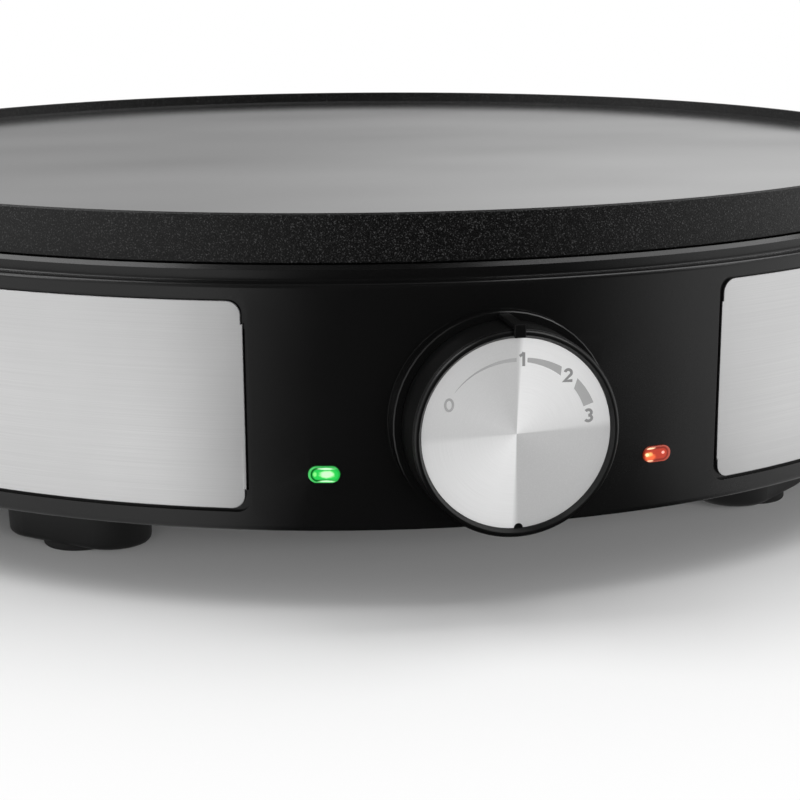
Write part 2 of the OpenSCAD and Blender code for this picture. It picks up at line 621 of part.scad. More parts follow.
module thermostat_screws() color([0.6, 0.6, 0.6]) about_axis() on_dial_axis()
  for (s = [-1, 1]) translate([s * thermostat_screw_x, 0, boss_reach]) rotate([180, 0, 0]) screw(m4_r, boss_t + bracket_t + 2);

blade_x = 9;
blade_z = -4;
module thermostat_terminals() color([0.75, 0.72, 0.6]) about_axis() on_dial_axis()
  for (s = [-1, 1]) translate([s * blade_x - tab_w / 2, blade_z - tab_t / 2, thermostat_back - tab_l]) cube([tab_w, tab_t, tab_l]);

// ---- pilot lamps ----

lens_flange_t = 1.2;
holder_l = 13;
holder_w = 12;
holder_h = 9;
lens_back = wall_r(lamp_z) - wall_t - lens_flange_t - 0.25;
// s = -1 is the green lens
module pilot_lens(s) about_axis() lens_place(s) {
  translate([0, 0, lens_back + eps]) linear_extrude(wall_r(lamp_z) + 0.5 - lens_back) obround(lens_l, lens_h);
  translate([0, 0, lens_back]) linear_extrude(lens_flange_t) obround(lens_l + 3, lens_h + 3);
}
module green_lens() color([0.1, 0.8, 0.3]) pilot_lens(-1);
module red_lens() color([0.95, 0.35, 0.2]) pilot_lens(1);

module lamp_holder(s) color([0.85, 0.85, 0.8]) about_axis() lens_place(s) difference() {
  translate([-holder_w / 2, -holder_h / 2, lens_back - holder_l]) cube([holder_w, holder_h, holder_l]);
  translate([0, 0, lens_back - holder_l - 1]) cylinder(r = neon_r + 0.1, h = holder_l + 2, $fn = 32);
}
module green_lamp_holder() lamp_holder(-1);
module red_lamp_holder() lamp_holder(1);

module neon_lamp(s) color([0.9, 0.7, 0.6]) about_axis() lens_place(s)
  translate([0, 0, lens_back - holder_l + 2]) cylinder(r = neon_r, h = holder_l - 2.5, $fn = 32);
module green_lamp() neon_lamp(-1);
module red_lamp() neon_lamp(1);

// ---- base cover and feet ----

// Half of a foot's cross-section; the draft and the rounded lower edge are in it
foot_draft = 0.8;
foot_edge = 2;
pad_sink = 1.5;
module foot_half(inset, top, low) {
  e = max(foot_edge - inset, 0.5);
  r = foot_r - inset;
  polygon(concat([[0, low]], arc(r - e, low + e, e, -90, 0), [[r + foot_draft, top], [0, top]]));
}
module foot_block(inset, top, low) {
  for (s = [-1, 1]) translate([s * foot_l / 2, 0, 0]) rotate([0, 0, s > 0 ? -90 : 90])
    rotate_extrude(angle = 180, $fn = 64) foot_half(inset, top, low);
  rotate([90, 0, 90]) linear_extrude(foot_l, center = true) {
    foot_half(inset, top, low);
    mirror([1, 0]) foot_half(inset, top, low);
  }
}
foot_sides = [["front_left", -foot_phi], ["front_right", foot_phi], ["rear_left", foot_phi - 180],
  ["rear_right", 180 - foot_phi]];

vent_rings = [56, 70, 84];
vent_span = 44;
module base_cover() color([0.07, 0.07, 0.075]) about_axis() difference() {
  union() {
    translate([0, 0, base_z]) cylinder(r = base_r, h = base_t, $fn = 180);
    for (f = foot_sides) at_phi(f[1]) translate([0, -foot_ring_r, 0]) foot_block(0, base_z + eps, pad_show);
    // posts and saddle of the cord clamp
    for (s = [-1, 1]) translate([s * clamp_post_x, clamp_post_y, base_top - eps])
      cylinder(r = 4, h = gland_z + lead_r - base_top, $fn = 32);
    translate([-6, clamp_post_y - 4, base_top - eps]) cube([12, 8, gland_z - lead_r - base_top + 1.5]);
  }
  for (f = foot_sides) at_phi(f[1]) translate([0, -foot_ring_r, 0]) {
    foot_block(wall_t, base_top + 1, pad_show + pad_sink + wall_t);
    translate([0, 0, pad_show - 1]) cylinder(r = pad_r + 0.1, h = pad_sink + 1, $fn = 48);
  }
  for (phi = column_phis) at_phi(phi) translate([0, -column_ring_r, base_z - 1])
    cylinder(r = m4_r + 0.2, h = base_t + 2, $fn = 32);
  for (r = vent_rings, k = [0:5]) sweep_phi(60 * k + 8, 60 * k + 8 + vent_span)
    translate([r - vent_w / 2, base_z - 1]) square([vent_w, base_t + 2]);
  for (s = [-1, 1]) translate([s * clamp_post_x, clamp_post_y, gland_z + lead_r - 9]) cylinder(r = m3_r + fit_gap, h = 10, $fn = 24);
  translate([0, clamp_post_y, gland_z]) rotate([90, 0, 0]) cylinder(r = lead_r, h = 20, center = true, $fn = 32);
  for (s = [-1, 1]) translate([s * pole_pitch / 2, block_y, base_z - 1]) cylinder(r = m3_r + fit_gap, h = base_t + 2, $fn = 24);
}

module base_screws() color([0.6, 0.6, 0.6]) about_axis()
  for (phi = column_phis) at_phi(phi) translate([0, -column_ring_r, base_z]) screw(m4_r, base_t + m4_grip);

module foot_pad(phi) color([0.05, 0.05, 0.05]) about_axis() at_phi(phi) translate([0, -foot_ring_r, 0])
  rotate_extrude($fn = 64) polygon(concat([[0, 0]], arc(pad_r - 0.8, 0.8, 0.8, -90, 0, 3),
    [[pad_r, pad_show + pad_sink], [0, pad_show + pad_sink]]));
module foot_pad_front_left() foot_pad(foot_sides[0][1]);
module foot_pad_front_right() foot_pad(foot_sides[1][1]);
module foot_pad_rear_left() foot_pad(foot_sides[2][1]);
module foot_pad_rear_right() foot_pad(foot_sides[3][1]);

// ---- lead entry and wiring ----

module cable_gland() color([0.06, 0.06, 0.065]) about_axis() gland_place() {
  flange_t = 2;
  inner = column_ring_r + 4;
  rotate_extrude($fn = 64) polygon([[lead_r, inner], [gland_r, inner], [gland_r, gland_pad_reach],
    [gland_r + 2.4, gland_pad_reach], [gland_r + 2.4, gland_pad_reach + flange_t - 0.4],
    [gland_r + 2, gland_pad_reach + flange_t], [gland_r, gland_pad_reach + flange_t],
    [lead_r + 1.4, gland_reach], [lead_r, gland_reach]]);
}

module cord_clamp() color([0.2, 0.2, 0.2]) about_axis() difference() {
  z = gland_z + lead_r;
  translate([-clamp_post_x - 4, clamp_post_y - 4, z]) cube([2 * clamp_post_x + 8, 8, 4]);
  translate([0, clamp_post_y, gland_z]) rotate([90, 0, 0]) cylinder(r = lead_r + 0.4, h = 20, center = true, $fn = 32);
  for (s = [-1, 1]) translate([s * clamp_post_x, clamp_post_y, z - 1]) cylinder(r = m3_r + 0.2, h = 6, $fn = 24);
}

module cord_clamp_screws() color([0.6, 0.6, 0.6]) about_axis()
  for (s = [-1, 1]) translate([s * clamp_post_x, clamp_post_y, gland_z + lead_r + 4]) rotate([180, 0, 0]) screw(m3_r, 11);

module terminal_block() color([0.88, 0.87, 0.82]) about_axis() difference() {
  translate([-block_w / 2, block_y - block_d / 2, base_top]) cube([block_w, block_d, block_h]);
  for (i = [-1:1]) translate([i * pole_pitch, block_y, block_pole_z]) rotate([90, 0, 0])
    cylinder(r = pole_r, h = block_d + 2, center = true, $fn = 32);
  for (s = [-1, 1]) translate([s * pole_pitch / 2, block_y, base_top - 1]) {
    cylinder(r = m3_r + 0.2, h = block_h + 2, $fn = 24);
    translate([0, 0, block_h - 3]) cylinder(r = m3_r * head_ratio + 0.2, h = 5, $fn = 24);
  }
}

module terminal_screws() color([0.75, 0.72, 0.6]) about_axis()
  for (s = [-1, 1]) translate([s * pole_pitch / 2, block_y, base_top + block_h - 4]) rotate([180, 0, 0])
    screw(m3_r, block_h - 4 + base_t - 0.2);

fuse_l = 16;
holder_drop = 9;
module fuse_holder() color([0.7, 0.7, 0.7]) about_axis() difference() {
  top = shield_floor_z - shield_t;
  translate([fuse_x - 5, fuse_y - 5, top - holder_drop]) cube([10, 16, holder_drop]);
  translate([fuse_x, fuse_y, top - holder_drop - 1]) cylinder(r = m3_r + 0.2, h = holder_drop + 2, $fn = 24);
  translate([fuse_x, fuse_mid_y, top - holder_drop / 2]) rotate([0, 90, 0]) cylinder(r = fuse_r + 0.1, h = 20, center = true, $fn = 24);
}
module thermal_fuse() color([0.85, 0.75, 0.5]) about_axis()
  translate([fuse_x, fuse_mid_y, shield_floor_z - shield_t - holder_drop / 2]) rotate([0, 90, 0])
    cylinder(r = fuse_r, h = fuse_l, center = true, $fn = 24);

earth_t = 0.8;
module earth_tag() color([0.75, 0.72, 0.6]) about_axis() difference() {
  z = shield_floor_z - shield_t - earth_t;
  union() {
    translate([earth_x, earth_y, z]) cylinder(r = 4, h = earth_t, $fn = 32);
    translate([earth_x - 3, earth_y, z]) cube([6, 14, earth_t]);
  }
  translate([earth_x, earth_y, z - 1]) cylinder(r = m3_r + 0.2, h = earth_t + 2, $fn = 24);
}

module tag_screws() color([0.6, 0.6, 0.6]) about_axis() {
  top = shield_floor_z - shield_t;
  translate([fuse_x, fuse_y, top - holder_drop]) screw(m3_r, holder_drop + shield_t + 2);
  translate([earth_x, earth_y, top - earth_t]) screw(m3_r, earth_t + shield_t + 2);
}

// Wires run from terminal to terminal; low_z is where they lie on the base
low_z = base_top + wire_r + 0.4;
block_front_y = block_y - block_d / 2;
blade_y = -(thermostat_back - tab_l);
blade_top_z = dial_z + blade_z + tab_t / 2 + wire_r + 0.05;
fuse_z = shield_floor_z - shield_t - holder_drop / 2;
tab_low_z = leg_tip_z - 5 - tab_l - wire_r;

module live_wire() color([0.45, 0.25, 0.15]) about_axis()
  tube([[pole_pitch, block_front_y + wire_grip, block_pole_z], [pole_pitch, block_front_y - wire_step, block_pole_z],
    [pole_pitch, block_front_y - wire_straight, block_pole_z],
    [live_x, live_y, low_z], [live_x + wire_grip, 0, low_z], [live_x, -live_y, low_z],
    [blade_x, blade_y + 2 * wire_bend, low_z + 2 * wire_step], [blade_x, blade_y + wire_straight, blade_top_z],
    [blade_x, blade_y - tab_l + wire_step, blade_top_z]], wire_r);
module switched_wire() color([0.1, 0.1, 0.1]) about_axis()
  tube([[-blade_x, blade_y - tab_l + wire_step, blade_top_z], [-blade_x, blade_y + wire_straight, blade_top_z],
    [-wire_bend, -live_y, dial_z - wire_grip], [0, -fuse_y / 2, dial_z],
    [fuse_x - fuse_l / 2 - 2 * wire_straight, fuse_y + wire_step, fuse_z - wire_step],
    [fuse_x - fuse_l / 2 - wire_grip, fuse_mid_y, fuse_z], [fuse_x - fuse_l / 2 - wire_step, fuse_mid_y, fuse_z],
    [fuse_x - fuse_l / 2 - 0.1, fuse_mid_y, fuse_z]], wire_r);
module fuse_wire() color([0.1, 0.1, 0.1]) about_axis() {
  leg = leg_at(loop_inner_r);
  tube([[fuse_x + fuse_l / 2 + 0.1, fuse_mid_y, fuse_z], [fuse_x + fuse_l / 2 + wire_step, fuse_mid_y, fuse_z],
    [fuse_x + fuse_l / 2 + wire_straight, fuse_mid_y, fuse_z - wire_step / 2],
    [fuse_x, fuse_y + 2 * wire_bend, fuse_z - wire_bend], [leg[0] + wire_bend, leg[1] + wire_step, tab_low_z - wire_straight],
    [leg[0], leg[1], tab_low_z - wire_grip], [leg[0], leg[1], tab_low_z + wire_r - 0.3]], wire_r);
}
module neutral_wire() color([0.15, 0.3, 0.7]) about_axis() {
  leg = leg_at(loop_outer_r);
  tube([[0, block_front_y + wire_grip, block_pole_z], [0, block_front_y - wire_step, block_pole_z],
    [0, block_front_y - wire_straight, block_pole_z],
    [leg[0] - wire_grip, leg[1] - 2 * wire_straight, block_pole_z + wire_step],
    [leg[0], leg[1] - wire_straight, tab_low_z - wire_grip], [leg[0], leg[1] - wire_step / 2, tab_low_z - wire_step],
    [leg[0], leg[1], tab_low_z + wire_r - 0.3]], wire_r);
}
module earth_wire() color([0.4, 0.65, 0.15]) about_axis() {
  tag_low_z = shield_floor_z - shield_t - earth_t - wire_r;
  tube([[-pole_pitch, block_front_y + wire_grip, block_pole_z], [-pole_pitch, block_front_y - wire_step, block_pole_z],
    [-pole_pitch, block_front_y - wire_straight, block_pole_z],
    [-live_x, block_front_y - 2 * wire_straight, block_pole_z + wire_straight],
    [earth_x, earth_y + 2 * wire_bend, fuse_z - wire_bend], [earth_x, earth_y + wire_bend, tag_low_z - wire_step],
    [earth_x, earth_y + wire_straight, tag_low_z - 0.05]], wire_r);
}

lamp_wire_r = 0.9;
module lamp_wires() color([0.55, 0.2, 0.15]) about_axis() for (s = [-1, 1]) {
  back = lens_back - holder_l + 2 - 0.1;
  p = [s * back * sin(lamp_phi), -back * cos(lamp_phi), lamp_z];
  q = [s * (back - wire_bend) * sin(lamp_phi), -(back - wire_bend) * cos(lamp_phi), lamp_z];
  tube([p, p + (q - p) * 0.3, q, [2 * s * wire_bend, -blade_low_y, dial_z - wire_bend],
    [s * (blade_x + wire_grip), -blade_low_y, dial_z + blade_z - wire_grip],
    [s * blade_x, -thermostat_back + wire_grip, dial_z + blade_z - tab_t / 2 - lamp_wire_r - 0.05]], lamp_wire_r);
}
blade_low_y = thermostat_back - 2 * wire_straight;

griddle_plate();
heating_element();
element_terminals();
element_clamps();
clamp_screws();
heat_shield();
plate_bolts();
shield_screws();
housing();
base_cover();
base_screws();
foot_pad_front_left();
foot_pad_front_right();
foot_pad_rear_left();
foot_pad_rear_right();
left_panel();
right_panel();
dial_pointer();
knob_body();
knob_face();
knob_clip();
thermostat_spindle();
thermostat_body();
thermostat_bracket();
thermostat_screws();
thermostat_terminals();
capillary_tube();
sensor_bulb();
bulb_clip();
green_lens();
red_lens();
green_lamp();
red_lamp();
green_lamp_holder();
red_lamp_holder();
terminal_block();
terminal_screws();
fuse_holder();
thermal_fuse();
earth_tag();
tag_screws();
live_wire();
switched_wire();
fuse_wire();
neutral_wire();
earth_wire();
lamp_wires();
cable_gland();
cord_clamp();
cord_clamp_screws();
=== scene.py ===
import math

import bpy
from mathutils import Matrix, Vector


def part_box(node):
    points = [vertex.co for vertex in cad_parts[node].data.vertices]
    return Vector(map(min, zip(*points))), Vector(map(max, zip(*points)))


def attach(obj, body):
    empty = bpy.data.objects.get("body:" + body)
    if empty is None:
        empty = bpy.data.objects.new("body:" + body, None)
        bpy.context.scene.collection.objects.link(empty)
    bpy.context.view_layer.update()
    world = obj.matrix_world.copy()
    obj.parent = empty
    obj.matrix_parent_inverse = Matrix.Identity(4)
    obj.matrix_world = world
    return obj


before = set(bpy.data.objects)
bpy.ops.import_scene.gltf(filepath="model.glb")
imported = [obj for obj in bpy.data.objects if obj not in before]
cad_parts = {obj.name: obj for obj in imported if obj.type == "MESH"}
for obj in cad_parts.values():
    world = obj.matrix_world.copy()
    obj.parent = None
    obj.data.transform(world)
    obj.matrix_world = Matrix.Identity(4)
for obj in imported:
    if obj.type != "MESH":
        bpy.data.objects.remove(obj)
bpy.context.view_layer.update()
scene = bpy.context.scene
MM = 0.001

# ---- places, in metres ----
plate_lo, plate_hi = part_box("griddle_plate")
AXIS = Vector((0.0, (plate_lo.y + plate_hi.y) / 2, 0.0))    # the plate's upright axis
knob_lo, knob_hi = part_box("knob_body")
DIAL_Z = (knob_lo.z + knob_hi.z) / 2    # height of the dial's axis, which runs along Y
FACE_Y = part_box("knob_face")[0].y       # front of the dial's face
FACE_R = 0.0245                         # radius of the dial's face
WALL_R = 0.196                          # radius of the wall that the side panels lie in
LENS_HALF_L, LENS_HALF_H = 0.0041, 0.00215    # half the length and height of a pilot lens


def link_object(name, data):
    """A new object, linked into the scene."""
    o = bpy.data.objects.new(name, data)
    scene.collection.objects.link(o)
    return o


# ---- camera ----
CAM_PLACE = (-0.1346586, AXIS.y - 0.69906694, 0.1759258)
CAM_TURN, CAM_PITCH, CAM_ROLL = 0.21239478, 0.22712, -0.00718174    # right, down, about its axis

cam_data = bpy.data.cameras.new("camera")
cam = link_object("camera", cam_data)
cam_data.sensor_fit = "HORIZONTAL"
cam_data.sensor_width = 36.0
cam_data.lens = 93.228
cam_data.clip_start = 0.01
cam_data.clip_end = 50.0
ahead = Vector((math.sin(CAM_TURN) * math.cos(CAM_PITCH),
                math.cos(CAM_TURN) * math.cos(CAM_PITCH),
                -math.sin(CAM_PITCH)))
right = Vector((math.cos(CAM_TURN), -math.sin(CAM_TURN), 0.0))
up = right.cross(ahead)
cos_roll, sin_roll = math.cos(CAM_ROLL), math.sin(CAM_ROLL)
right, up = cos_roll * right + sin_roll * up, cos_roll * up - sin_roll * right
facing = Matrix((right, up, -ahead)).transposed().to_4x4()
cam.matrix_world = Matrix.Translation(CAM_PLACE) @ facing
scene.camera = cam
scene.view_settings.view_transform = "Standard"


# ---- node helpers ----
def as_rgb(color):
    """A colour as three numbers; one number stands for a grey."""
    return color if isinstance(color, tuple) else (color, color, color)


def rgb(color):
    """A colour as seen, 0 to 1, to scene-linear with alpha."""
    return tuple(x / 12.92 if x <= 0.04045 else ((x + 0.055) / 1.055) ** 2.4
                 for x in as_rgb(color)) + (1.0,)


class Nodes:
    """Builds nodes in one tree. Unless it says otherwise, each helper returns an output."""

    def __init__(self, tree):
        self.tree = tree

    def put(self, socket, value):
        """Links an output to the socket, or sets the socket to a plain value."""
        if hasattr(value, "is_output"):
            self.tree.links.new(value, socket)
        else:
            socket.default_value = value

    def make(self, kind, out, inputs=None, **props):
        """A new node with its properties and inputs; out names or numbers the output."""
        n = self.tree.nodes.new("ShaderNode" + kind)
        for key, value in props.items():
            setattr(n, key, value)
        for key, value in (inputs or {}).items():
            self.put(n.inputs[key], value)
        return n.outputs[out]

    def light_path(self):
        """All outputs of a Light Path node, by name."""
        return self.tree.nodes.new("ShaderNodeLightPath").outputs

    def math(self, operation, a, b=0.0):
        return self.make("Math", 0, {0: a, 1: b}, operation=operation)

    def add(self, a, b):
        return self.math("ADD", a, b)

    def sub(self, a, b):
        return self.math("SUBTRACT", a, b)

    def div(self, a, b):
        return self.math("DIVIDE", a, b)

    def times(self, first, *rest):
        for value in rest:
            first = self.math("MULTIPLY", first, value)
        return first

    def largest(self, first, *rest):
        for value in rest:
            first = self.math("MAXIMUM", first, value)
        return first

    def hypot(self, a, b):
        squares = self.add(self.math("POWER", a, 2.0), self.math("POWER", b, 2.0))
        return self.math("POWER", squares, 0.5)

    def remap(self, value, a, b, c=0.0, d=1.0, kind="LINEAR"):
        """The range a to b of a value, mapped to c to d and held there outside it."""
        ends = {"From Min": a, "From Max": b, "To Min": c, "To Max": d}
        return self.make("MapRange", "Result", {"Value": value, **ends}, interpolation_type=kind)

    def smooth(self, value, a, b, c=0.0, d=1.0):
        return self.remap(value, a, b, c, d, "SMOOTHSTEP")

    def spread(self, noise, low, high):
        """The middle of a noise, where nearly all of it lies, spread from low to high."""
        return self.remap(noise, 0.3, 0.7, low, high)

    def mix(self, factor, a, b):
        """Two colours mixed."""
        return self.make("Mix", 2, {"Factor": factor, 6: a, 7: b}, data_type="RGBA")

    def blend(self, factor, a, b):
        """Two numbers mixed."""
        return self.make("Mix", 0, {"Factor": factor, 2: a, 3: b}, data_type="FLOAT")

    def tones(self, noise, dark, light):
        """A noise as tones between two colours as seen."""
        return self.mix(self.spread(noise, 0.0, 1.0), rgb(dark), rgb(light))

    def split(self, vector):
        """The X, Y and Z of a vector."""
        n = self.tree.nodes.new("ShaderNodeSeparateXYZ")
        self.put(n.inputs[0], vector)
        return tuple(n.outputs)

    def join(self, x, y):
        return self.make("CombineXYZ", 0, {0: x, 1: y})

    def mapped(self, vector, scale=(1, 1, 1), loc=(0, 0, 0)):
        return self.make("Mapping", 0, {"Vector": vector, "Location": loc, "Scale": scale})

    def noise(self, vector, scale, detail=2.0, rough=0.5):
        return self.make("TexNoise", "Fac", {"Vector": vector, "Scale": scale,
                                             "Detail": detail, "Roughness": rough})

    def ramp(self, value, stops):
        """A value as greys, given as (position, grey) stops."""
        n = self.tree.nodes.new("ShaderNodeValToRGB")
        elements = n.color_ramp.elements
        while len(elements) > 1:
            elements.remove(elements[-1])
        for i, (position, grey) in enumerate(stops):
            element = elements.new(position) if i else elements[0]
            element.position = position
            element.color = rgb(grey)
        self.put(n.inputs["Fac"], value)
        return n.outputs["Color"]

    def bump(self, height, strength, distance, normal=None):
        under = {} if normal is None else {"Normal": normal}
        return self.make("Bump", "Normal", {"Height": height, "Strength": strength,
                                            "Distance": distance, **under})

    def soft_edge(self, radius):
        return self.make("Bevel", "Normal", {"Radius": radius}, samples=4)


class Material(Nodes):
    """A material with one Principled shader. Socket names are written with underscores."""

    def __init__(self, name, color, rough, metal=0.0, **sockets):
        self.material = bpy.data.materials.new(name)
        self.material.use_nodes = True
        self.material.diffuse_color = rgb(color)
        super().__init__(self.material.node_tree)
        self.shader = self.tree.nodes["Principled BSDF"]
        self.set(Base_Color=rgb(color), Roughness=rough, Metallic=metal, **sockets)
        self.coords = self.make("TexCoord", "Object")

    def set(self, **sockets):
        for key, value in sockets.items():
            self.put(self.shader.inputs[key.replace("_", " ")], value)

    def place(self, scale=(1, 1, 1), loc=(0, 0, 0)):
        """The place on the object, in metres in the shared frame, scaled and moved."""
        return self.mapped(self.coords, scale, loc)


# ---- materials ----
def moulded(name, shade, rough, grain, grain_scale, edge):
    """Black moulded plastic: fine spark-eroded grain, slight flow clouding, soft edges."""
    m = Material(name, shade, rough, Specular_IOR_Level=0.4)
    fine = m.noise(m.place(), grain_scale, 3.0, 0.6)
    cloud = m.noise(m.place(), 14.0, 3.0, 0.55)
    m.set(Base_Color=m.mix(m.remap(cloud, 0.3, 0.75), rgb(shade), rgb(shade + 0.012)),
          Roughness=m.add(m.spread(cloud, rough - 0.03, rough + 0.04),
                          m.spread(fine, -0.03, 0.03)),
          Normal=m.bump(fine, grain, 0.00006, m.soft_edge(edge)))
    return m.material


def coated_plate():
    """The cast plate: a smooth, slightly wavy coated top and a sandblasted side."""
    m = Material("cast_coating", 0.12, 0.42, Specular_IOR_Level=0.35, Coat_Roughness=0.14)
    facing_up = m.split(m.make("NewGeometry", "Normal"))[2]
    top = m.smooth(facing_up, 0.9, 0.99)
    # the side: sharp small grains, slightly drawn out round the rim, and pale specks that are painted
    # glints
    grain = m.noise(m.place(), 1700.0, 4.0, 0.75)
    drawn = m.noise(m.place((1.0, 1.0, 2.4)), 750.0, 3.0, 0.65)
    grit = m.add(m.times(grain, 1.1), m.times(drawn, 1.1))
    # pale specks of painted glint
    glint_speck = m.remap(m.noise(m.place(), 2600.0, 2.0, 0.6), 0.56, 0.70)
    side_color = m.mix(m.remap(grain, 0.35, 0.72), rgb(0.01), rgb(0.045))
    side_color = m.mix(m.times(glint_speck, 0.65), side_color, rgb(0.30))
    side_rough = m.spread(grain, 0.38, 0.58)
    # the top: soft clouds of grey, lighter than the side, partly the coating's tone and partly
    # painted reflection, with a slight waviness and a very fine orange peel
    cloud = m.noise(m.place((1.0, 1.5, 1.0)), 9.0, 3.0, 0.5)
    wave = m.noise(m.place((0.9, 1.2, 1.0), (0.3, 0.1, 0.0)), 9.0, 1.0, 0.4)
    peel = m.noise(m.place(), 520.0, 2.0, 0.5)
    # the top's lighter, cloudy grey is partly painted reflection
    top_tone_and_reflection = m.tones(cloud, 0.17, 0.21)
    top_rough = m.add(m.remap(cloud, 0.25, 0.75, 0.17, 0.24), m.spread(wave, -0.015, 0.02))
    relief = m.blend(top, grit, m.add(m.times(peel, 0.05), m.times(wave, 7.0)))
    worn = m.bump(relief, 1.0, 0.00009, m.soft_edge(0.00015))
    m.set(Base_Color=m.mix(top, side_color, top_tone_and_reflection),
          Roughness=m.blend(top, side_rough, top_rough),
          Normal=worn, Coat_Normal=worn, Coat_Weight=top)
    return m.material


def brushed_panel():
    """Steel brushed round the wall: streaks long about the plate's axis and fine in height."""
    m = Material("brushed_panel", 0.8, 0.3, 1.0, Anisotropic=0.5)
    x, y, z = m.split(m.place(loc=tuple(-AXIS)))
    on_wall = m.join(m.times(m.math("ARCTAN2", x, y), WALL_R), z)

    def streaks(along, across, detail):
        return m.noise(m.mapped(on_wall, (along, across, 1.0)), 1.0, detail, 0.55)

    hair = streaks(22.0, 4200.0, 3.0)
    wide = streaks(9.0, 900.0, 2.0)
    brushing = m.add(m.times(hair, 0.7), m.times(wide, 0.3))
    soft = m.noise(m.place(), 17.0, 3.0, 0.5)
    m.set(Base_Color=m.mix(m.spread(soft, 0.0, 0.5), m.tones(brushing, 0.80, 0.85), rgb(0.78)),
          Roughness=m.add(m.spread(brushing, 0.30, 0.35), m.spread(soft, -0.02, 0.03)),
          Normal=m.bump(brushing, 0.10, 0.00003, m.soft_edge(0.0003)))
    return m.material


# painted highlights: the tones that the four brushed quarters would reflect, clockwise from the top
# as 0 to 1; they turn with the dial
PAINTED_SHEEN_QUARTERS = (
    (0.0, 0.79), (0.003, 0.80),
    (0.011, 0.99), (0.05, 0.985), (0.12, 0.965), (0.20, 0.93), (0.236, 0.90),
    (0.248, 0.79), (0.30, 0.785), (0.36, 0.77), (0.44, 0.755), (0.497, 0.75),
    (0.507, 0.98), (0.56, 0.985), (0.62, 0.97), (0.70, 0.93), (0.738, 0.905),
    (0.752, 0.83), (0.82, 0.845), (0.90, 0.82), (0.96, 0.79), (1.0, 0.785),
)


def spun_face():
    """The dial's metal disc: a painted sheen in four quarters, as brushed metal reflects light, over
    fine turned rings.
    """
    m = Material("spun_face", 0.86, 0.34, 0.35, Anisotropic=0.4)
    x, _, z = m.split(m.place(loc=(0.0, 0.0, -DIAL_Z)))
    around = m.math("FRACT", m.add(m.div(m.math("ARCTAN2", x, z), 2 * math.pi), 1.0))
    radius = m.hypot(x, z)
    rings = m.noise(m.join(m.times(radius, 5200.0), m.times(around, 9.0)), 1.0, 2.0, 0.5)
    sand = m.noise(m.place(), 2400.0, 2.0, 0.6)
    # the quarters' tones are painted highlights
    color = m.mix(m.spread(rings, 0.0, 0.10), m.ramp(around, PAINTED_SHEEN_QUARTERS), rgb(0.70))
    color = m.mix(m.remap(sand, 0.45, 0.75, 0.0, 0.10), color, rgb(0.97))
    color = m.mix(m.remap(radius, 0.0, FACE_R, 0.0, 0.22), color, rgb(0.74))
    m.set(Base_Color=color,
          Roughness=m.spread(rings, 0.33, 0.42),
          Normal=m.bump(rings, 0.06, 0.00003))
    return m.material


def steel(name, shade=0.66, rough=0.34, scale=(900, 900, 60), tones=None):
    """Bare or plated metal with a drawn grain; tones are its darkest and lightest colours."""
    m = Material(name, shade, rough, 1.0)
    grain = m.noise(m.place(scale), 1.0, 3.0, 0.6)
    cloud = m.noise(m.place(), 60.0, 2.0)
    dark, light = tones or (shade - 0.05, shade + 0.05)
    m.set(Base_Color=m.tones(grain, dark, light),
          Roughness=m.add(m.spread(grain, rough - 0.05, rough + 0.06),
                          m.spread(cloud, -0.03, 0.04)),
          Normal=m.bump(grain, 0.08, 0.00004))
    return m.material


def dull(name, color, rough=0.5, grain=0.1, grain_scale=1400.0, vary=0.03):
    """Rubber, plastic, ceramic, glass or ink: slight clouds of colour and a fine grain."""
    m = Material(name, color, rough)
    fine = m.noise(m.place(), grain_scale, 3.0, 0.6)
    cloud = m.noise(m.place(), 45.0, 3.0)
    dark = tuple(max(0.0, x - vary) for x in as_rgb(color))
    light = tuple(min(1.0, x + vary) for x in as_rgb(color))
    m.set(Base_Color=m.tones(cloud, dark, light),
          Roughness=m.spread(fine, rough - 0.05, rough + 0.06),
          Normal=m.bump(fine, grain, 0.00005))
    return m.material


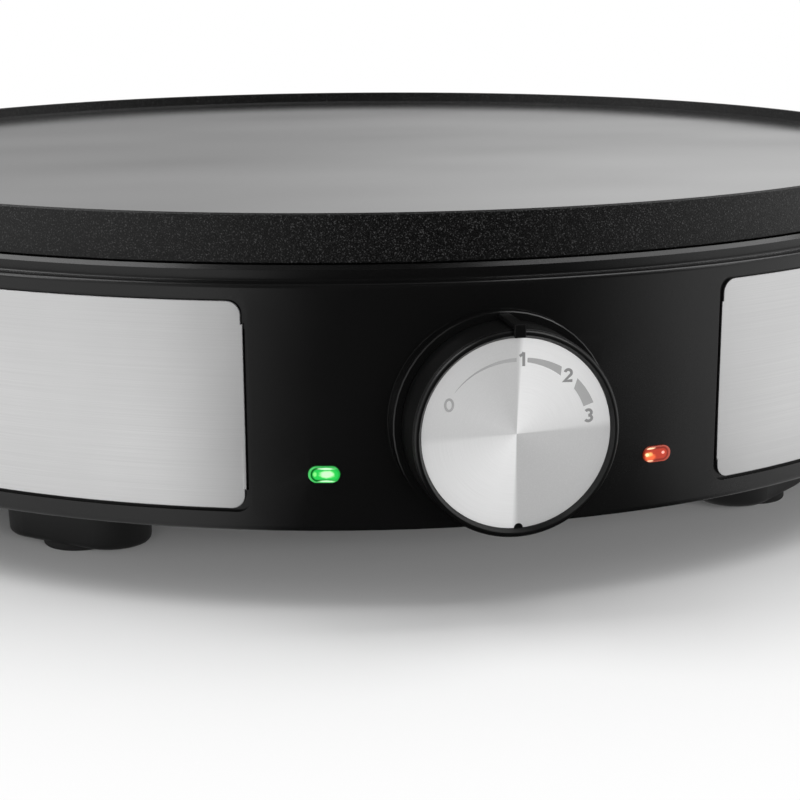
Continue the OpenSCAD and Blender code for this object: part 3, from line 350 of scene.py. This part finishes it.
def pilot_lens(node, dark, mid, rim, bare_side, spots):
    """A ribbed pilot lens that glows by painted emission: spots of painted lamp glow and painted
    highlights behind clear plastic, a dark inner ring and a light edge that is a painted highlight.

    The ring is left off towards bare_side, 1 for the right and -1 for the left. A spot is
    (cx, cz, rx, rz, softness, colour), in half lengths along the lens and half heights up it.
    """
    lo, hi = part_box(node)
    middle = (lo + hi) / 2
    outwards = Vector((middle.x - AXIS.x, middle.y - AXIS.y, 0.0)).normalized()
    along = Vector((-outwards.y, outwards.x, 0.0))
    m = Material(node, mid, 0.1, Coat_Weight=0.5, Coat_Roughness=0.05, Emission_Strength=0.38)
    place = m.place()
    u = m.make("VectorMath", "Value", {0: place, 1: tuple(along)}, operation="DOT_PRODUCT")
    u = m.sub(u, middle.dot(along))
    w = m.sub(m.split(place)[2], middle.z)
    # 0 on the obround's middle line and 1 at its edge
    past = m.largest(m.sub(m.math("ABSOLUTE", u), LENS_HALF_L - LENS_HALF_H), 0.0)
    edge = m.div(m.hypot(past, w), LENS_HALF_H)
    across, upwards = m.div(u, LENS_HALF_L), m.div(w, LENS_HALF_H)
    ribs = m.noise(m.place((1.0, 1.0, 2.0)), 900.0, 2.0, 0.5)
    frayed = m.times(m.sub(ribs, 0.5), 0.7)

    color = m.mix(m.smooth(edge, 0.55, 0.72), rgb(mid), rgb(dark))
    bare = m.times(m.smooth(across, 0.1 * bare_side, 0.7 * bare_side), 0.7)
    color = m.mix(bare, color, rgb(mid))
    # the spots paint the lamp's glow and highlights
    for cx, cz, rx, rz, softness, lit in spots:
        from_spot = m.hypot(m.div(m.sub(across, cx), rx), m.div(m.sub(upwards, cz), rz))
        from_spot = m.add(from_spot, frayed)
        color = m.mix(m.smooth(from_spot, 1.0 - softness, 1.0 + softness, 1.0, 0.0),
                      color, rgb(lit))
    # the light edge is a painted highlight
    color = m.mix(m.smooth(edge, 0.84, 0.90, 0.0, 0.85), color, rgb(rim))
    # the lens itself glows in these colours: painted emission
    m.set(Base_Color=color, Emission_Color=color,
          Normal=m.bump(ribs, 0.3, 0.0001, m.soft_edge(0.0005)))
    return m.material


# spots of painted lamp glow and painted highlights on each lens
GREEN_GLOW_AND_HIGHLIGHTS = (
    (0.05, 0.72, 0.50, 0.10, 0.5, (0.74, 0.95, 0.75)),
    (0.10, 0.02, 0.42, 0.42, 0.35, (0.70, 0.97, 0.68)),
    (0.10, -0.86, 0.50, 0.14, 0.4, (0.74, 0.98, 0.74)),
    (-0.66, 0.05, 0.10, 0.28, 0.5, (0.45, 0.85, 0.45)),
)
RED_GLOW_AND_HIGHLIGHTS = (
    (-0.45, -0.35, 0.40, 0.42, 0.4, (0.84, 0.36, 0.20)),
    (-0.55, 0.05, 0.26, 0.26, 0.5, (0.98, 0.66, 0.38)),
    (-0.68, 0.02, 0.12, 0.20, 0.5, (1.0, 0.88, 0.66)),
    (-0.45, 0.80, 0.34, 0.12, 0.4, (0.97, 0.80, 0.64)),
    (-0.50, -0.84, 0.26, 0.12, 0.4, (0.96, 0.78, 0.62)),
    (0.52, 0.12, 0.10, 0.18, 0.5, (0.98, 0.66, 0.60)),
)

LOOKS = {
    "plate": coated_plate(),
    "housing": moulded("housing_plastic", 0.04, 0.22, 0.06, 1800.0, 0.00015),
    "base": moulded("base_plastic", 0.04, 0.46, 0.18, 1200.0, 0.0004),
    "knob": moulded("knob_plastic", 0.03, 0.32, 0.06, 2200.0, 0.0003),
    "rubber": dull("pad_rubber", 0.10, 0.72, 0.25, 1100.0, 0.02),
    "panel": brushed_panel(),
    "face": spun_face(),
    "steel": steel("plated_steel"),
    "sheet": steel("galvanised_sheet", 0.62, 0.42, (120, 120, 120)),
    "element": dull("element_sheath", 0.36, 0.45, 0.15, 900.0, 0.05),
    "brass": steel("terminal_brass", 0.7, 0.3, tones=((0.72, 0.58, 0.28), (0.86, 0.74, 0.42))),
    "copper": steel("copper_tube", 0.6, 0.28, tones=((0.66, 0.38, 0.24), (0.84, 0.54, 0.38))),
    "fuse": steel("fuse_case", 0.72, 0.3, tones=((0.74, 0.62, 0.34), (0.85, 0.75, 0.48))),
    "ceramic": dull("white_moulding", (0.86, 0.85, 0.80), 0.5),
    "case": dull("thermostat_case", (0.80, 0.77, 0.67), 0.55),
    "green": pilot_lens("green_lens", (0.02, 0.34, 0.10), (0.14, 0.70, 0.28),
                        (0.26, 0.72, 0.36), 1.0, GREEN_GLOW_AND_HIGHLIGHTS),
    "red": pilot_lens("red_lens", (0.45, 0.12, 0.07), (0.62, 0.19, 0.12),
                      (0.62, 0.27, 0.21), -1.0, RED_GLOW_AND_HIGHLIGHTS),
    "glass": dull("lamp_glass", (0.9, 0.78, 0.7), 0.15, 0.02),
    "brown wire": dull("brown_sleeve", (0.34, 0.17, 0.09), 0.45),
    "black wire": dull("black_sleeve", 0.09, 0.45),
    "blue wire": dull("blue_sleeve", (0.10, 0.25, 0.62), 0.45),
    "green wire": dull("earth_sleeve", (0.42, 0.66, 0.16), 0.45),
    "red wire": dull("red_sleeve", (0.55, 0.12, 0.10), 0.45),
}

# which nodes have which look; screws, bolts and the knob's clip have plated steel
WEARERS = {
    "plate": ["griddle_plate"],
    "housing": ["housing"],
    "base": ["base_cover", "cable_gland", "cord_clamp"],
    "knob": ["knob_body", "dial_pointer"],
    "rubber": ["foot_pad_" + end + side for end in ("front", "rear") for side in ("_left", "_right")],
    "panel": ["left_panel", "right_panel"],
    "face": ["knob_face"],
    "sheet": ["heat_shield", "thermostat_bracket", "fuse_holder", "element_clamps", "bulb_clip"],
    "element": ["heating_element"],
    "brass": ["element_terminals", "thermostat_terminals", "terminal_screws", "earth_tag",
              "thermostat_spindle"],
    "copper": ["capillary_tube", "sensor_bulb"],
    "fuse": ["thermal_fuse"],
    "ceramic": ["green_lamp_holder", "red_lamp_holder", "terminal_block"],
    "case": ["thermostat_body"],
    "green": ["green_lens"],
    "red": ["red_lens"],
    "glass": ["green_lamp", "red_lamp"],
    "brown wire": ["live_wire"],
    "black wire": ["switched_wire", "fuse_wire"],
    "blue wire": ["neutral_wire"],
    "green wire": ["earth_wire"],
    "red wire": ["lamp_wires"],
}
look_of = {node: look for look, nodes in WEARERS.items() for node in nodes}
for node_name, node_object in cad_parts.items():
    material = LOOKS[look_of.get(node_name, "steel")]
    if not node_object.material_slots:
        node_object.data.materials.append(material)
    for material_slot in node_object.material_slots:
        material_slot.material = material


# ---- the print on the dial's face: numerals, and a wedge that grows ----
PRINT_Y = FACE_Y - 0.00003    # the print stands this little before the face
LAYER = 0.00001               # strokes that cross lie this far apart
STROKE = 0.74                 # width of a numeral's stroke, in mm
WEDGE_R = 18.95               # the wedge's radius at the top of the face, in mm
WEDGE_WIDENS = 0.95           # how much further out it lies at the side, in mm
ink = dull("dial_ink", 0.56, 0.6, 0.05, 2500.0, 0.02)
ink_dark = dull("dial_ink_dark", 0.47, 0.6, 0.05, 2500.0, 0.02)


def mesh_object(name, verts, faces, material):
    mesh = bpy.data.meshes.new(name)
    mesh.from_pydata(verts, [], faces)
    mesh.update()
    mesh.materials.append(material)
    return link_object(name, mesh)


def printed(name, verts, faces, material):
    """Flat print on the face; verts are (x, z, layer) from the dial's axis, in mm."""
    places = [(x * MM, PRINT_Y - LAYER * layer, DIAL_Z + z * MM) for x, z, layer in verts]
    piece = mesh_object(name, places, faces, material)
    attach(piece, "dial")


def wedge(name, inner, outer, width_0, width_1, steps=40):
    """A stretch of the wedge; inner and outer are the angles that its two edges run between."""
    verts = []
    for i in range(steps + 1):
        t = i / steps
        for (start, end), side in ((inner, -1), (outer, 1)):
            a = math.radians(start + (end - start) * t)
            r = WEDGE_R + WEDGE_WIDENS * math.sin(a) ** 2
            r += side * (width_0 + (width_1 - width_0) * t) / 2
            verts.append((r * math.sin(a), r * math.cos(a), 0))
    faces = [(k, k + 2, k + 3, k + 1) for k in range(0, 2 * steps, 2)]
    printed(name, verts, faces, ink)


def arc(cx, cz, rx, rz, start, end, steps=16):
    """Points on an oval arc round (cx, cz), from one angle to another in degrees."""
    angles = [math.radians(start + (end - start) * i / steps) for i in range(steps + 1)]
    return [(cx + rx * math.cos(a), cz + rz * math.sin(a)) for a in angles]


def numeral(name, strokes, x, z, width=STROKE, material=ink_dark):
    """A numeral round the point (x, z), drawn as strokes of one width, each on its own layer."""
    verts, faces = [], []
    for layer, points in enumerate(strokes):
        closed = math.dist(points[0], points[-1]) < 1e-6
        if closed:
            points = points[:-1]
        count, first = len(points), len(verts)
        for i, point in enumerate(points):
            point = Vector(point)
            before = Vector(points[(i - 1) % count]) if closed or i else point
            after = Vector(points[(i + 1) % count]) if closed or i < count - 1 else point
            way_in = (point - before).normalized() if i or closed else (after - point).normalized()
            way_out = (after - point).normalized() if closed or i < count - 1 else way_in
            way = (way_in + way_out).normalized()
            # a corner is mitred, but its sides reach at most one stroke's width out
            out = Vector((-way.y, way.x)) * (width / 2 / max(0.5, way.dot(way_in)))
            verts += [(x + point.x + side * out.x, z + point.y + side * out.y, layer)
                      for side in (-1, 1)]
        for i in range(count if closed else count - 1):
            j = (i + 1) % count
            faces.append((first + 2 * i, first + 2 * j, first + 2 * j + 1, first + 2 * i + 1))
    printed(name, verts, faces, material)


wedge("dial_wedge_a", (-54.6, -0.4), (-54.6, -0.4), 0.05, 1.0)
wedge("dial_wedge_b", (8.3, 38.3), (8.0, 34.8), 1.15, 2.05)
wedge("dial_wedge_c", (53.8, 70.6), (49.4, 70.6), 2.35, 2.75)
numeral("dial_numeral_0", [arc(0, 0, 0.98, 1.45, 0, 360, 32)], -17.39, 8.35, 0.62, ink)
numeral("dial_numeral_1", [[(-0.75, 0.85), (0.0, 1.3), (0.3, 1.78)], [(0.3, 1.78), (0.3, -1.72)]],
        1.42, 19.0)
numeral("dial_numeral_2", [arc(0, 0.62, 0.85, 0.82, 165, -38, 18) + [(-0.95, -1.44), (1.1, -1.44)]],
        13.28, 14.36)
numeral("dial_numeral_3", [arc(-0.05, 0.72, 0.8, 0.72, 150, -90, 18),
                           arc(-0.05, -0.72, 0.9, 0.74, 90, -150, 18)], 18.73, 3.74)

# ---- floor ----
WHITE = (1.0, 1.0, 1.0, 1.0)
FLOOR_R, FLOOR_SIDES = 1.0, 96
LIT_R, WHITE_R = 0.215, 0.345         # lit and shadowed out to LIT_R, plain white from WHITE_R
DIM_SECTOR = (-34, -16, 18, 46)       # degrees from the front: begins, is full from, to, ends

f = Material("floor", 0.93, 0.6, Specular_IOR_Level=0.1)
x, y, _ = f.split(f.place())
rays = f.light_path()
far = f.smooth(f.hypot(x, y), LIT_R, WHITE_R, 0.03, 1.0)
seen = f.largest(rays["Is Camera Ray"], rays["Is Glossy Ray"], rays["Is Transmission Ray"])
# in gloss the floor in front is dim, as the world above it is
azimuth = f.math("ARCTAN2", x, f.times(y, -1.0))
begins, full_from, full_to, ends = (math.radians(a) for a in DIM_SECTOR)
dim = f.times(f.smooth(azimuth, begins, full_from), f.smooth(azimuth, full_to, ends, 1.0, 0.0),
              rays["Is Glossy Ray"])
glow = f.make("Emission", 0, {"Color": WHITE, "Strength": f.remap(dim, 0.0, 1.0, 1.0, 0.01)})
above = f.make("MixShader", 0, {0: f.largest(f.times(far, seen), dim),
                                1: f.shader.outputs[0], 2: glow})
# from below the floor isn't in the way
from_below = f.times(f.make("NewGeometry", "Backfacing"), rays["Is Camera Ray"])
surface = f.make("MixShader", 0, {0: from_below, 1: above, 2: f.make("BsdfTransparent", 0)})
f.put(f.tree.nodes["Material Output"].inputs["Surface"], surface)
angles = [2 * math.pi * i / FLOOR_SIDES for i in range(FLOOR_SIDES)]
floor = mesh_object("floor", [(FLOOR_R * math.cos(a), FLOOR_R * math.sin(a), 0.0) for a in angles],
                    [tuple(range(FLOOR_SIDES))], f.material)

# ---- world ----
DIFFUSE_LIGHT = 0.47
TO_DIM = (0.1132, -0.9936)    # the way to the middle of the dim front, as X and Y

world = bpy.data.worlds.new("world")
world.use_nodes = True
scene.world = world
w = Nodes(world.node_tree)
x, y, z = w.split(w.make("TexCoord", "Generated"))
rays = w.light_path()
flat = w.largest(w.hypot(x, y), 0.001)
across = w.div(x, flat)
in_line = w.add(w.times(y, TO_DIM[1]), w.times(x, TO_DIM[0]))
in_line = w.math("ABSOLUTE", w.div(in_line, flat))    # 1 straight in front and behind
# gloss sees a soft wall of light round the sides and behind, brighter to the right and
# upwards, and a dim front; both fall off overhead
sides = w.times(w.smooth(in_line, 0.866, 0.469, 0.03, 0.78),
                w.smooth(z, 0.85, 0.35, 0.25, 1.0),
                w.smooth(across, 0.0, 0.7, 1.0, 1.28))
behind = w.times(w.smooth(z, 0.03, 0.18, 0.18, 0.96),
                 w.smooth(y, -0.1, 0.6),
                 w.smooth(across, 0.09, 0.42, 0.60, 1.0),
                 w.smooth(z, 0.9, 0.6, 0.25, 1.0))
lit = w.blend(rays["Is Glossy Ray"], DIFFUSE_LIGHT, w.largest(sides, behind))
background = w.tree.nodes["Background"]
w.put(background.inputs["Color"], WHITE)
w.put(background.inputs["Strength"],
      w.largest(lit, w.largest(rays["Is Camera Ray"], rays["Is Transmission Ray"])))

# ---- lights ----
LIT_POINT = Vector((0.0, 0.0, 0.05))


def area_light(name, place, width, height, watts):
    light = bpy.data.lights.new(name, "AREA")
    light.energy = watts
    light.shape = "RECTANGLE"
    light.size = width
    light.size_y = height
    o = link_object(name, light)
    o.location = place
    o.rotation_euler = (LIT_POINT - Vector(place)).to_track_quat("-Z", "Y").to_euler()
    return o


area_light("front", (0.1, -1.5, 0.34), 1.5, 0.4, 13.5).visible_glossy = False
area_light("left", (-0.80, 0.10, 1.05), 0.8, 0.8, 7.2)
area_light("right", (0.66, -0.05, 1.05), 0.8, 0.8, 5.0)
